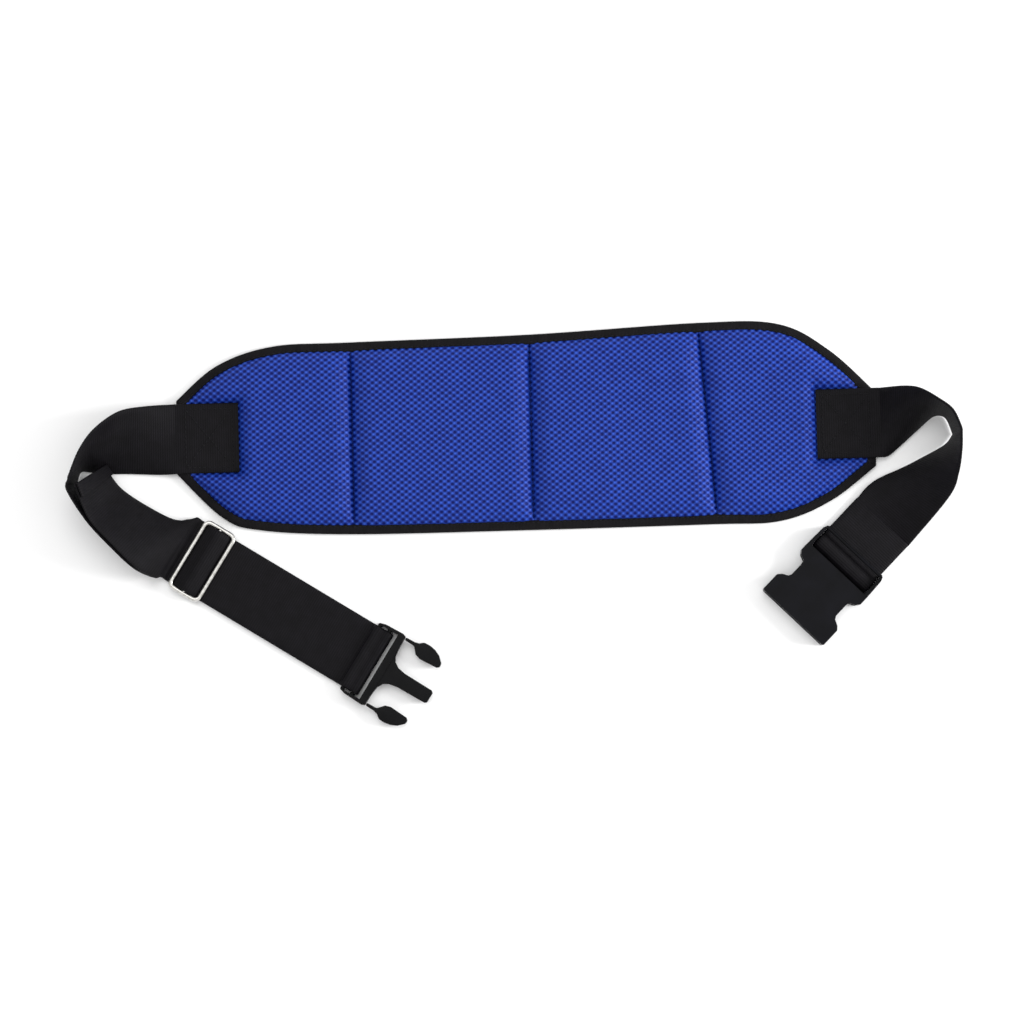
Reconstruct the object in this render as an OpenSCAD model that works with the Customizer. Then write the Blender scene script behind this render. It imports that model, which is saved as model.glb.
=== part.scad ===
// Padded gait belt, laid out open on a table: a quilted waist pad in four panels,
// webbing straps at both ends, a wire slider and a side-release buckle.
// Millimetres, +Z up. The origin is the middle of the pad's back, on the table.

/* [Webbing] */
// Width of the strap webbing
web_w = 49; // [46:0.5:49]
// Thickness of the strap webbing
web_t = 1.6; // [1.2:0.1:1.6]

/* [Pad] */
// Height of the quilted crown above the table
crown_z = 11; // [9:0.5:16]
// Width of the folded edge binding
binding_w = 6.8; // [5:0.2:8]
// Top of the folded edge binding above the table
binding_z = 3.6; // [3.6:0.1:3.8]
// How far the crown slopes in from its foot
crown_slope = 11; // [8:1:16]
// How far the sewn strap end reaches over the pad
patch_len = 44; // [38:1:50]

/* [Slider] */
// Length of the wire slider along the strap
slider_len = 26; // [24:1:32]
// Width of the wire slider across the strap
slider_w = 55; // [55:0.5:58]
// Thickness of the slider's wire
wire_d = 3; // [2.4:0.2:3.4]

/* [Buckle] */
// Height of the buckle's socket half
socket_h = 12; // [11.5:0.5:14]
// Height of the buckle's plug half
plug_h = 9; // [8.5:0.5:10]
// Wall thickness of the socket
socket_wall = 2.2; // [1.8:0.1:2.6]

/* [Hidden] */

// Gap at a seam or a webbing crease, between pieces on different bodies
gap = 0.5;
// Clearance between pieces on one body
fit = 0.05;

// Pad outline: the upper edge from left to right, then the lower edge back
pad_outline = concat(
    smooth([[-246, 26], [-217, 50], [-178, 62.5], [-123, 64], [3, 66], [123, 71],
            [178, 68.5], [213, 49], [243, 20]], 5),
    smooth([[243, -33], [211, -56.5], [175, -70], [126, -71], [3, -71.5],
            [-123, -71], [-188, -66.5], [-215, -57], [-246, -26]], 5)
);

// Seams between the panels: a point on each and its lean from +Y, in degrees
seam_x = [-123, 2.5, 126];
seam_lean = [0, 0, 4.1];

// Levels in the pad
lining_t = 1.4;         // back lining
lip_z = 0.9;            // top of the binding's lower lip
cover_z0 = 2.0;         // mesh cover's sewn flange
cover_z1 = 3.05;
foam_z = crown_z - 1.2; // top of the foam core
patch_z = 3.9;          // underside of a sewn strap end
patch_top = patch_z + web_t;
patch_y = [-1, -3];     // middle of the left and right strap ends
patch_x = [-246.5, 246];

// Strap frames: where the straight stretches start, and their headings
left_o = [-230, -87];
left_heading = -32.5;
right_o = [224.3, -94.2];
right_heading = -135;

// Layers of webbing in the straight stretches
layer_1 = 0.2;
layer_2 = layer_1 + web_t + 0.3;
layers_top = layer_2 + web_t;
straight_0 = -15.5;       // the left straight stretch starts here
right_straight_0 = -30; // and the right one here
ply = web_t + 0.4;      // one layer of webbing and its clearance
plug_crease = 126;      // and ends at the crease behind the plug
socket_crease = -4.5;   // crease behind the socket, along its own heading

function rot2(p, a) = [p[0] * cos(a) - p[1] * sin(a), p[0] * sin(a) + p[1] * cos(a)];
function at(o, a, u, v) = o + rot2([u, v], a);
function unit(v) = v / norm(v);
function mix(a, b, t) = a + (b - a) * t;

// Smooth curve through points, n steps to a span
function curve(a, b, c, d, t) =
    ((2 * b) + (c - a) * t + (2 * a - 5 * b + 4 * c - d) * t * t
     + (3 * b - a - 3 * c + d) * t * t * t) / 2;
function smooth(p, n) = [
    for (i = [0 : len(p) - 2])
        for (k = [0 : n - 1])
            curve(p[max(i - 1, 0)], p[i], p[i + 1], p[min(i + 2, len(p) - 1)], k / n),
    p[len(p) - 1]
];

// A strap station is [outer x, outer y, inner x, inner y, inner z, outer z or undef].
// The outer edge stands as high as the webbing's full width needs.
function station(s) = let (
    flat = norm([s[0] - s[2], s[1] - s[3]]),
    rise = s[5] == undef ? sqrt(max(web_w * web_w - flat * flat, 0)) : s[5]
) [s[0], s[1], s[4] + rise, s[2], s[3], s[4]];

// Station where a strap meets its straight stretch; side is +1 or -1 for the outer edge
function flat_station(o, a, u, side, z) =
    concat(at(o, a, u, side * web_w / 2), at(o, a, u, -side * web_w / 2), [z + web_t / 2, 0]);
// Station near a straight's start, its outer edge still raised a little
function lean_station(o, a, u, side, z, rise) = let (wide = sqrt(web_w * web_w - rise * rise))
    concat(at(o, a, u, side * (wide - web_w / 2)), at(o, a, u, -side * web_w / 2),
           [z + web_t / 2, rise]);
function middle(s) = let (q = station(s)) [q[0] + q[3], q[1] + q[4], q[2] + q[5]] / 2;

// Station k moved by d along the webbing's upper normal
function above(s, k, d) = let (
    q = station(s[k]),
    run = middle(s[min(k + 1, len(s) - 1)]) - middle(s[max(k - 1, 0)]),
    n = unit(cross(run, [q[3] - q[0], q[4] - q[1], q[5] - q[2]])) * d
) [q[0] + n[0], q[1] + n[1], q[3] + n[0], q[4] + n[1], q[5] + n[2]];

// Closed strip of webbing along stations, thick on both sides of its middle surface
module ribbon(stations, steps) {
    s = smooth([for (q = stations) station(q)], steps);
    n = len(s);
    o = [for (q = s) [q[0], q[1], q[2]]];
    w = [for (q = s) unit([q[3] - q[0], q[4] - q[1], q[5] - q[2]])];
    i = [for (k = [0 : n - 1]) o[k] + w[k] * web_w];
    m = [for (k = [0 : n - 1]) (o[k] + i[k]) / 2];
    run = [for (k = [0 : n - 1]) unit(m[min(k + 1, n - 1)] - m[max(k - 1, 0)])];
    up = [for (k = [0 : n - 1]) unit(cross(w[k], run[k])) * web_t / 2];
    pts = [for (k = [0 : n - 1]) each [o[k] + up[k], i[k] + up[k], i[k] - up[k], o[k] - up[k]]];
    ends = [[0, 1, 2], [0, 2, 3],
            [4 * n - 4, 4 * n - 2, 4 * n - 3], [4 * n - 4, 4 * n - 1, 4 * n - 2]];
    sides = [
        for (k = [0 : n - 2])
            for (j = [0 : 3])
                each [[4 * k + j, 4 * k + 4 + j, 4 * k + (j + 1) % 4],
                      [4 * k + (j + 1) % 4, 4 * k + 4 + j, 4 * k + 4 + (j + 1) % 4]]
    ];
    polyhedron(pts, concat(ends, sides));
}

// Flat strip of webbing whose side view is a path of [u, z], w wide, in a strap's frame
module band(path, w) {
    n = len(path);
    side = [
        for (k = [0 : n - 1]) let (
            a = unit(k == 0 ? path[1] - path[0] : path[k] - path[k - 1]),
            b = k == n - 1 ? a : unit(path[k + 1] - path[k]),
            t = unit(a + b),
            c = t * b
        ) [-t[1], t[0]] * web_t / 2 / max(c, 0.5)
    ];
    rotate([90, 0, 0])
        linear_extrude(w, center = true)
            polygon(concat([for (k = [0 : n - 1]) path[k] + side[k]],
                           [for (k = [n - 1 : -1 : 0]) path[k] - side[k]]));
}

module left_frame() {
    translate([left_o[0], left_o[1], 0]) rotate(left_heading) children();
}

module right_frame() {
    translate([right_o[0], right_o[1], 0]) rotate(right_heading) children();
}

// Ground between two seams, kept clear of each by a margin
module panel_ground(k, margin) {
    big = 400;
    difference() {
        square(2 * big, center = true);
        if (k > 1)
            translate([seam_x[k - 2], 0]) rotate(seam_lean[k - 2])
                translate([margin - 2 * big, -big]) square([2 * big, 2 * big]);
        if (k < 4)
            translate([seam_x[k - 1], 0]) rotate(seam_lean[k - 1])
                translate([-margin, -big]) square([2 * big, 2 * big]);
    }
}

// A panel's outline, pulled in from the pad's edge and from its seams
module panel_shape(k, inset, margin) {
    intersection() {
        offset(delta = -inset) polygon(pad_outline);
        panel_ground(k, margin);
    }
}

module layer(k, inset, margin, z0, z1) {
    translate([0, 0, z0]) linear_extrude(z1 - z0) panel_shape(k, inset, margin);
}

// Crown of a quilted panel, upright from z0 to the flange and sloping in to its top at z1
module crown(k, inset, margin, z0, z1) {
    skin = 0.2;
    shoulder = mix(cover_z1, z1, 0.7);
    hull() {
        layer(k, inset, margin, z0, cover_z1);
        layer(k, inset + crown_slope * 0.38, margin + crown_slope * 0.38,
              shoulder - skin, shoulder);
        layer(k, inset + crown_slope, margin + crown_slope, z1 - skin, z1);
    }
}

// Room above the pad where a strap end is sewn down
module patch_room(grow, z) {
    for (s = [0, 1]) {
        dir = s == 0 ? 1 : -1;
        translate([patch_x[s] + dir * patch_len / 2, patch_y[s], z + 20])
            cube([patch_len + 2 * grow, web_w + 2 * grow, 40], center = true);
    }
}

module foam_core(k) {
    color("lightyellow")
    difference() {
        crown(k, binding_w + 1.7, 3, lining_t + fit, foam_z);
        patch_room(4, cover_z1 - 0.1);
    }
}

module mesh_cover(k) {
    color("royalblue")
    difference() {
        union() {
            layer(k, 1.3, gap / 2, cover_z0, cover_z1);
            difference() {
                crown(k, binding_w + 0.4, 1.6, cover_z0 + 0.4, crown_z);
                patch_room(2.5, patch_z - fit);
            }
        }
        difference() {
            crown(k, binding_w + 1.6, 2.9, 0, foam_z + fit);
            patch_room(3.9, cover_z1 - 0.05);
        }
    }
}

module back_lining(k) {
    color("dimgray") {
        layer(k, binding_w + fit, gap / 2, 0, lining_t);
        layer(k, 1.3, gap / 2, lip_z + fit, lining_t);
    }
}

module edge_binding(k) {
    color("black")
    difference() {
        layer(k, 0, gap / 2, 0, binding_z);
        layer(k, 1.2, -1, lip_z, cover_z1 + fit);
        layer(k, binding_w, -1, -1, binding_z + 1);
    }
}

// Line of stitches down a quilting seam, in the groove beside it
module seam_thread(k) {
    stitch_l = 3;
    pitch = 4;
    color("navy")
    intersection() {
        translate([seam_x[k - 1], 0, cover_z1])
            rotate(seam_lean[k - 1])
                for (y = [-64 : pitch : 60])
                    translate([(k == 1 ? 1 : -1) * 0.9, y, 0.2])
                        cube([0.7, stitch_l, 0.4], center = true);
        translate([0, 0, cover_z1]) linear_extrude(2)
            offset(delta = -binding_w - 1) polygon(pad_outline);
    }
}

module strap_end(s) {
    dir = s == 0 ? 1 : -1;
    color("black")
    translate([patch_x[s] + dir * patch_len / 2, patch_y[s], patch_z + web_t / 2])
        cube([patch_len, web_w, web_t], center = true);
}

// Box stitched round the strap end, with a cross inside it
module box_stitch(s) {
    dir = s == 0 ? 1 : -1;
    edge = 4;
    line_w = 0.8;
    line_h = 0.4;
    bx = patch_len - 2 * edge - 6;
    by = web_w - 2 * edge;
    diagonal = sqrt(bx * bx + by * by);
    color("dimgray")
    translate([patch_x[s] + dir * (patch_len + 6) / 2, patch_y[s], patch_top])
        linear_extrude(line_h) {
            difference() {
                square([bx, by], center = true);
                square([bx - 2 * line_w, by - 2 * line_w], center = true);
            }
            for (m = [-1, 1])
                rotate(m * atan2(by, bx))
                    square([diagonal - 2 * line_w, line_w], center = true);
        }
}

// Left strap: off the pad, up on edge, round the turn, then down flat
left_upper_stations = [
    [-246.9, 23.5, -246.9, -25.5, 4.7, 0],
    [-266, 21.5, -268, -25, 1.6],
    [-284, 17.5, -290, -24, 0.9],
    [-299, 5, -306, -22.5, 0.9],
    [-309, -10, -314, -22, 0.9],
    [-316.8, -28.6, -317, -29.4, 0.9]
];
left_turn_stations = [
    [-317.2, -31, -317, -30.3, 0.9],
    [-318, -38.5, -313.6, -33.6, 0.9],
    [-306.6, -58.9, -288, -35.6, 1.2],
    [-291, -77, -268, -49.7, 1.2],
    [-276.5, -91.5, -250, -58.2, 1.2],
    [-265.5, -97.3, -238.8, -57.1, 1.1],
    lean_station(left_o, left_heading, straight_0 - 3.5, -1, layer_1 + 0.1, 2.5),
    flat_station(left_o, left_heading, straight_0 - 0.1, -1, layer_1)
];
left_tail_stations = [
    [-312.4, -34.6, -296.4, -18.4, 9],
    above(left_turn_stations, 2, 2 * ply - 0.8),
    above(left_turn_stations, 3, 2 * ply - 0.6),
    above(left_turn_stations, 4, 2 * ply - 0.4),
    above(left_turn_stations, 5, 2 * ply - 0.3),
    lean_station(left_o, left_heading, straight_0 - 3.5, -1, layer_2 + 0.8, 2.5),
    flat_station(left_o, left_heading, straight_0 - 0.1, -1, layer_2)
];

module left_strap_upper() {
    color("black") ribbon(left_upper_stations, 5);
}

module left_strap_turn() {
    color("black") ribbon(left_turn_stations, 5);
}

module left_strap_tail() {
    color("black") ribbon(left_tail_stations, 5);
}

// Folded and stitched end of the tail, lying on it
module tail_hem() {
    hem_share = 0.42;
    a = above(left_tail_stations, 0, ply + 0.3);
    b = above(left_tail_stations, 1, ply + 0.3);
    color("black") ribbon([a, mix(a, b, hem_share)], 3);
}

module left_strap_lower() {
    z = layer_1 + web_t / 2;
    color("black") left_frame() band([[straight_0, z], [plug_crease - gap / 2, z]], web_w);
}

module left_strap_return() {
    z = layer_2 + web_t / 2;
    color("black") left_frame() band([[straight_0, z], [plug_crease - gap / 2, z]], web_w);
}

// Slider: a bent wire frame, its middle bar, and the webbing that rides over the bar
slider_z = layers_top + 0.3 + wire_d / 2;

module slider_frame() {
    r = 4;
    x = slider_len / 2 - wire_d / 2;
    y = slider_w / 2 - wire_d / 2;
    color("silver")
    left_frame() translate([0, 0, slider_z]) {
        for (s = [-1, 1]) {
            translate([s * x, 0, 0]) rotate([90, 0, 0])
                cylinder(d = wire_d, h = 2 * (y - r), center = true, $fn = 32);
            translate([0, s * y, 0]) rotate([0, 90, 0])
                cylinder(d = wire_d, h = 2 * (x - r), center = true, $fn = 32);
            for (t = [-1, 1])
                translate([s * (x - r), t * (y - r), 0])
                    rotate(s == 1 ? (t == 1 ? 0 : -90) : (t == 1 ? 90 : 180))
                        rotate_extrude(angle = 90, $fn = 48)
                            translate([r, 0]) circle(d = wire_d, $fn = 32);
        }
    }
}

module slider_bar() {
    reach = slider_w - 2 * wire_d;
    color("silver")
    left_frame() translate([0, 0, slider_z]) rotate([90, 0, 0])
        cylinder(d = wire_d - 0.4, h = reach, center = true, $fn = 32);
}

module slider_webbing() {
    low = slider_z - wire_d / 2 + web_t / 2 + 0.05;
    high = slider_z + wire_d / 2 + web_t / 2 + 0.1;
    x = slider_len / 2 - wire_d - 1.4;
    color("black")
    left_frame() band([[-x, low], [-x + 1.8, low + 0.9], [-2.6, high - 0.5], [-1, high],
                       [1, high], [2.6, high - 0.5], [x - 1.8, low + 0.9], [x, low]], web_w);
}

// Plug half of the buckle, in its own frame: u along the buckle, v across it
plug_o = at(left_o, left_heading, plug_crease, 0);
plug_half = 28.6;
rail = 2.6;
plug_mid = plug_h / 2;
plug_bar_u = [3.9, 11.7];

module plug_frame() {
    translate([plug_o[0], plug_o[1], 0]) rotate(left_heading) children();
}

// Half outline of the tongue and its filleted root
tongue_side = [
    [18, 24.6], [23.2, 24.6], [23.4, 22.5], [23.6, 18], [24.3, 12.5], [26.4, 8.8],
    [30, 6.5], [36, 5.4], [58, 5], [59.5, 3.8]
];

module plug_bars() {
    for (u = plug_bar_u)
        translate([u, 0, plug_mid]) rotate([90, 0, 0])
            cylinder(d = 3.4, h = 2 * (plug_half - rail) + 0.5, center = true, $fn = 32);
}

module buckle_plug() {
    color([0.07, 0.07, 0.08])
    plug_frame() {
        difference() {
            linear_extrude(plug_h)
                polygon([[1.4, 24], [3, 26.8], [7, 28], [21, plug_half], [23.4, 27.6], [23.4, -27.6],
                         [21, -plug_half], [7, -28], [3, -26.8], [1.4, -24]]);
            translate([-1, -plug_half + rail, -1]) cube([19, 2 * (plug_half - rail), plug_h + 2]);
        }
        plug_bars();
        translate([0, 0, 1.8]) linear_extrude(plug_h - 3.6)
            polygon(concat(tongue_side, [for (k = [len(tongue_side) - 1 : -1 : 0])
                [tongue_side[k][0], -tongue_side[k][1]]]));
    }
}

// Webbing round the plug's two bars
module plug_webbing() {
    reach = 1.7 + web_t / 2 + 0.15;
    hi = plug_mid + reach;
    lo = plug_mid - reach;
    z1 = layer_1 + web_t / 2;
    z2 = layer_2 + web_t / 2;
    u1 = plug_bar_u[0];
    u2 = plug_bar_u[1];
    color("black")
    plug_frame()
        band([[gap / 2, z2], [0.8, z2 + 0.4], [u1 - 2.9, plug_mid + 0.8], [u1 - 1.9, hi - 0.6],
              [u1, hi], [(u1 + u2) / 2, hi - 0.6], [u2, hi], [u2 + 1.9, hi - 0.6],
              [u2 + 2.9, plug_mid + 0.8], [u2 + 2.9, plug_mid - 0.8], [u2 + 1.9, lo + 0.6],
              [u2, lo], [u1, lo], [1.4, z1], [gap / 2, z1]], web_w);
}

// Spring arm of the plug, with its spearhead; side is 1 or -1
module plug_arm(side) {
    color([0.07, 0.07, 0.08])
    plug_frame() translate([0, 0, 1.6]) linear_extrude(plug_h - 3.2)
        polygon([for (p = [
            [23.8, 27.6], [23.8, 25.4], [31.5, 25.2], [35.5, 20.6], [39.5, 19.4], [52.6, 20.2],
            [54.4, 21.6], [54.2, 24.4], [50, 28.4], [45.5, 30.4], [41, 31.2], [36.6, 31],
            [33.6, 28.6], [30.5, 27.8]
        ]) [p[0], side * p[1]]]);
}

// Right strap, the other way round
right_upper_stations = [
    [246.9, 21.5, 246.9, -27.5, 4.7, 0],
    [262, 20, 259.5, -20.5, 1.6],
    [272, 16.5, 272, -9.5, 0.9],
    [283, 8.5, 284, 0.5, 0.9],
    [292.4, 0.4, 292.8, -0.4, 0.9],
    [297.6, -11.4, 297.8, -12.2, 0.9]
];
right_turn_stations = [
    [298, -13.5, 297.8, -12.7, 0.9],
    [297.5, -27.5, 291.5, -20, 0.9],
    [295.5, -43, 276, -28, 0.9],
    [290, -58, 258.5, -36, 0.9],
    flat_station(right_o, right_heading, right_straight_0 - 5, 1, layer_2),
    flat_station(right_o, right_heading, right_straight_0 - 0.1, 1, layer_2)
];

module right_strap_upper() {
    color("black") ribbon(right_upper_stations, 5);
}

module right_strap_turn() {
    color("black") ribbon(right_turn_stations, 6);
}

module right_strap_lower() {
    z = layer_2 + web_t / 2;
    color("black") right_frame() band([[right_straight_0, z], [socket_crease - gap / 2, z]], web_w);
}

module right_strap_tail() {
    z = layer_1 + web_t / 2;
    color("black") right_frame() band([[-27, z], [socket_crease - gap / 2, z]], web_w);
}

// Socket half of the buckle: half outline from the strap end to the mouth
socket_side = [
    [-2.4, 24.5], [-1.2, 26.4], [1.5, 27.4], [18, 28], [23, 28], [26, 25.6], [27.8, 21.6],
    [30, 21], [40.5, 21], [43, 22.4], [45, 26.4], [47.5, 28.6], [61, 28.6], [62, 27.6]
];
cavity_u = 25;
mid_bar_z = 4.4;

module buckle_socket() {
    color([0.09, 0.09, 0.11])
    right_frame()
    difference() {
        linear_extrude(socket_h)
            polygon(concat(socket_side, [for (k = [len(socket_side) - 1 : -1 : 0])
                [socket_side[k][0], -socket_side[k][1]]]));
        // room above and below the bars, from the strap end to the socket
        translate([-4, -25.1, -1]) cube([20.2, 50.2, socket_h + 2]);
        // the socket, open at the mouth and at both side windows
        translate([cavity_u, -26.2, socket_wall])
            cube([40, 52.4, socket_h - 2 * socket_wall]);
    }
    color([0.09, 0.09, 0.11])
    right_frame() {
        translate([-1, 0, socket_h - 2.6]) rotate([90, 0, 0])
            cylinder(d = 2.6, h = 51, center = true, $fn = 32);
        translate([8.4, 0, mid_bar_z]) rotate([90, 0, 0])
            cylinder(d = 3.6, h = 51, center = true, $fn = 32);
    }
}

// Webbing under the socket's rear bar, over its middle bar and back below
module socket_webbing() {
    in = 1.8 + web_t / 2 + 0.15;
    hi = mid_bar_z + in;
    lo = mid_bar_z - in;
    color("black")
    right_frame()
        band([[socket_crease + gap / 2, layer_2 + web_t / 2], [-3.4, layer_2 + web_t / 2],
              [-1.5, 3.4], [2, 4.6], [5.4, hi - 0.5], [7.4, hi], [9.4, hi], [11.4, hi - 1],
              [12.3, hi - 2.8], [12.3, lo + 2.2], [11.4, lo + 0.6], [9.6, lo],
              [-2, layer_1 + web_t / 2], [socket_crease + gap / 2, layer_1 + web_t / 2]], web_w);
}

for (k = [1 : 4]) {
    mesh_cover(k);
    foam_core(k);
    back_lining(k);
    edge_binding(k);
}
for (k = [1 : 3]) {
    seam_thread(k);
}
strap_end(0);  // left_strap_end
strap_end(1);  // right_strap_end
box_stitch(0);  // left_box_stitch
box_stitch(1);  // right_box_stitch
left_strap_upper();
left_strap_turn();
left_strap_lower();
left_strap_return();
left_strap_tail();
tail_hem();
slider_frame();
slider_bar();
slider_webbing();
plug_webbing();
buckle_plug();
plug_arm(1);  // plug_arm_left
plug_arm(-1);  // plug_arm_right
right_strap_upper();
right_strap_turn();
right_strap_lower();
right_strap_tail();
socket_webbing();
buckle_socket();
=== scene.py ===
# Padded gait belt laid out open: quilted air-mesh pad, webbing straps, wire slider, side-release buckle
import math

import bmesh
import bpy
import numpy as np
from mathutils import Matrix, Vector, noise


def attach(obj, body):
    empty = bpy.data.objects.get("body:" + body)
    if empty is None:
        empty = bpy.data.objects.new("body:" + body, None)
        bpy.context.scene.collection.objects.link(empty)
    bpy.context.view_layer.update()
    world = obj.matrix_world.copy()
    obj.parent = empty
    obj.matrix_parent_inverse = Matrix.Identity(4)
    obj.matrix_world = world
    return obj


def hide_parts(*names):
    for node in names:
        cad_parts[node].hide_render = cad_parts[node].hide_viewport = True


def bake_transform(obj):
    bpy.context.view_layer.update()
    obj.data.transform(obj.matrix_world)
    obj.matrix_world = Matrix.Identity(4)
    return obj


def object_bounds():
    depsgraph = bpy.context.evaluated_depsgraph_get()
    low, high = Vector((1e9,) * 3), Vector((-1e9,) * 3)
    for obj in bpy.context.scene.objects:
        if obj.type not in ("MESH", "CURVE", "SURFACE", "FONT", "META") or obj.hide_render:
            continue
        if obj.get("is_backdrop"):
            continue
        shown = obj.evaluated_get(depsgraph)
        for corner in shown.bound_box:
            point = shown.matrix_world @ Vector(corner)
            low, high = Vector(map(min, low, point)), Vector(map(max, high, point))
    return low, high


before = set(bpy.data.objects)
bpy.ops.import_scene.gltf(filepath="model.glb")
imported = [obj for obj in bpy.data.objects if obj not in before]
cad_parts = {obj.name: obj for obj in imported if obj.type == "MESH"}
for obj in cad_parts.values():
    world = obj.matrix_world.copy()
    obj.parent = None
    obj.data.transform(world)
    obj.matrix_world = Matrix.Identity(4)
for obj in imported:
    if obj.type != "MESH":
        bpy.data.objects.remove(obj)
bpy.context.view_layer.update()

mm = 0.001


def hexColour(text, alpha=1.0):
    channels = [int(text[i:i + 2], 16) / 255 for i in (1, 3, 5)]
    linear = [c / 12.92 if c <= 0.04045 else ((c + 0.055) / 1.055) ** 2.4 for c in channels]
    return (*linear, alpha)


def addNode(tree, kind, settings=None, links=None):
    # settings: a ramp's stops, input sockets by name or number, or attributes
    # links: input socket -> (node, output)
    node = tree.nodes.new(kind)
    for key, value in (settings or {}).items():
        if key == "stops":
            elements = node.color_ramp.elements
            for element, (place, colour) in zip(elements, value):
                element.position = place
                element.color = colour
        elif isinstance(key, int) or key in node.inputs:
            node.inputs[key].default_value = value
        else:
            setattr(node, key, value)
    for key, (source, output) in (links or {}).items():
        tree.links.new(source.outputs[output], node.inputs[key])
    return node


def newMaterial(name, settings):
    material = bpy.data.materials.new(name)
    material.use_nodes = True
    tree = material.node_tree
    shader = tree.nodes["Principled BSDF"]
    for key, value in settings.items():
        shader.inputs[key].default_value = value
    return material, tree, shader


def patternCoords(tree, scaleX, scaleY):
    # the UV map holds real metres, so a scale is in repeats per metre
    coords = addNode(tree, "ShaderNodeTexCoord")
    mapping = addNode(tree, "ShaderNodeMapping", {"Scale": (scaleX, scaleY, 1)},
                      {"Vector": (coords, "UV")})
    return addNode(tree, "ShaderNodeSeparateXYZ", links={"Vector": (mapping, "Vector")}), mapping


# hole spacing of the knit along the belt and across it, in mm
# the hole colour is painted shade inside the knit's holes; the crest colour is a painted highlight on the
# yarn loops
airMeshKnit = {"alongPitch": 5.4, "acrossPitch": 4.27, "holeStart": -0.15, "holeFull": 0.62,
               "yarn": "#1b3b9a", "yarnShade": "#152f84", "crestHighlight": "#3259c6", "holeShade": "#000f60",
               "depth": 0.85}


def makeAirMesh():
    # knitted polyester spacer mesh, dyed royal blue: small holes between soft yarns, with painted shade in
    # the holes and a painted highlight on the yarn loops
    knit = airMeshKnit
    material, tree, shader = newMaterial("airMeshPolyester", {
        "Roughness": 0.45, "IOR": 1.5, "Specular IOR Level": 0.16,
        "Sheen Weight": 0.08, "Sheen Roughness": 0.4, "Sheen Tint": hexColour("#5f80ff")})
    turn = 2 * math.pi * 1000
    split, mapping = patternCoords(tree, turn / knit["alongPitch"], turn / knit["acrossPitch"])
    cosX = addNode(tree, "ShaderNodeMath", {"operation": "COSINE"}, {0: (split, "X")})
    cosY = addNode(tree, "ShaderNodeMath", {"operation": "COSINE"}, {0: (split, "Y")})
    wave = addNode(tree, "ShaderNodeMath", {"operation": "MULTIPLY"}, {0: (cosX, 0), 1: (cosY, 0)})
    # painted shade: this mask darkens the holes to stand for the shade inside them
    holeShadeMask = addNode(tree, "ShaderNodeMapRange", {"interpolation_type": "SMOOTHSTEP",
                    "From Min": knit["holeStart"], "From Max": knit["holeFull"]}, {"Value": (wave, 0)})
    coords = addNode(tree, "ShaderNodeTexCoord")
    patch = addNode(tree, "ShaderNodeTexNoise", {"Scale": 90.0, "Detail": 3.0},
                    {"Vector": (coords, "UV")})
    yarn = addNode(tree, "ShaderNodeValToRGB", {"stops": [
        (0.3, hexColour(knit["yarnShade"])), (0.7, hexColour(knit["yarn"]))]},
        {"Fac": (patch, "Fac")})
    fibre = addNode(tree, "ShaderNodeTexNoise", {"Scale": 3200.0, "Detail": 2.0},
                    {"Vector": (coords, "UV")})
    fleck = addNode(tree, "ShaderNodeValToRGB", {"stops": [
        (0.25, (0.72, 0.72, 0.72, 1)), (0.75, (1.18, 1.18, 1.18, 1))]},
        {"Fac": (fibre, "Fac")})
    flecked = addNode(tree, "ShaderNodeMix", {"data_type": "RGBA", "blend_type": "MULTIPLY", 0: 1.0},
                      {6: (yarn, "Color"), 7: (fleck, "Color")})
    mixed = addNode(tree, "ShaderNodeMix", {"data_type": "RGBA", 7: hexColour(knit["holeShade"])},
                    {0: (holeShadeMask, "Result"), 6: (flecked, 2)})
    # painted highlight: the yarn loops between four holes stand proud, and the light they catch is painted
    # into their colour
    crestHighlightMask = addNode(tree, "ShaderNodeMapRange", {"interpolation_type": "SMOOTHSTEP",
                     "From Min": -0.35, "From Max": -0.95, "To Max": 0.75}, {"Value": (wave, 0)})
    lit = addNode(tree, "ShaderNodeMix", {"data_type": "RGBA", 7: hexColour(knit["crestHighlight"])},
                  {0: (crestHighlightMask, "Result"), 6: (mixed, 2)})
    tree.links.new(lit.outputs[2], shader.inputs["Base Color"])
    bump = addNode(tree, "ShaderNodeBump", {"Strength": 0.5, "Distance": 0.0002},
                   {"Height": (fibre, "Fac")})
    tree.links.new(bump.outputs["Normal"], shader.inputs["Normal"])
    return material


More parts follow.
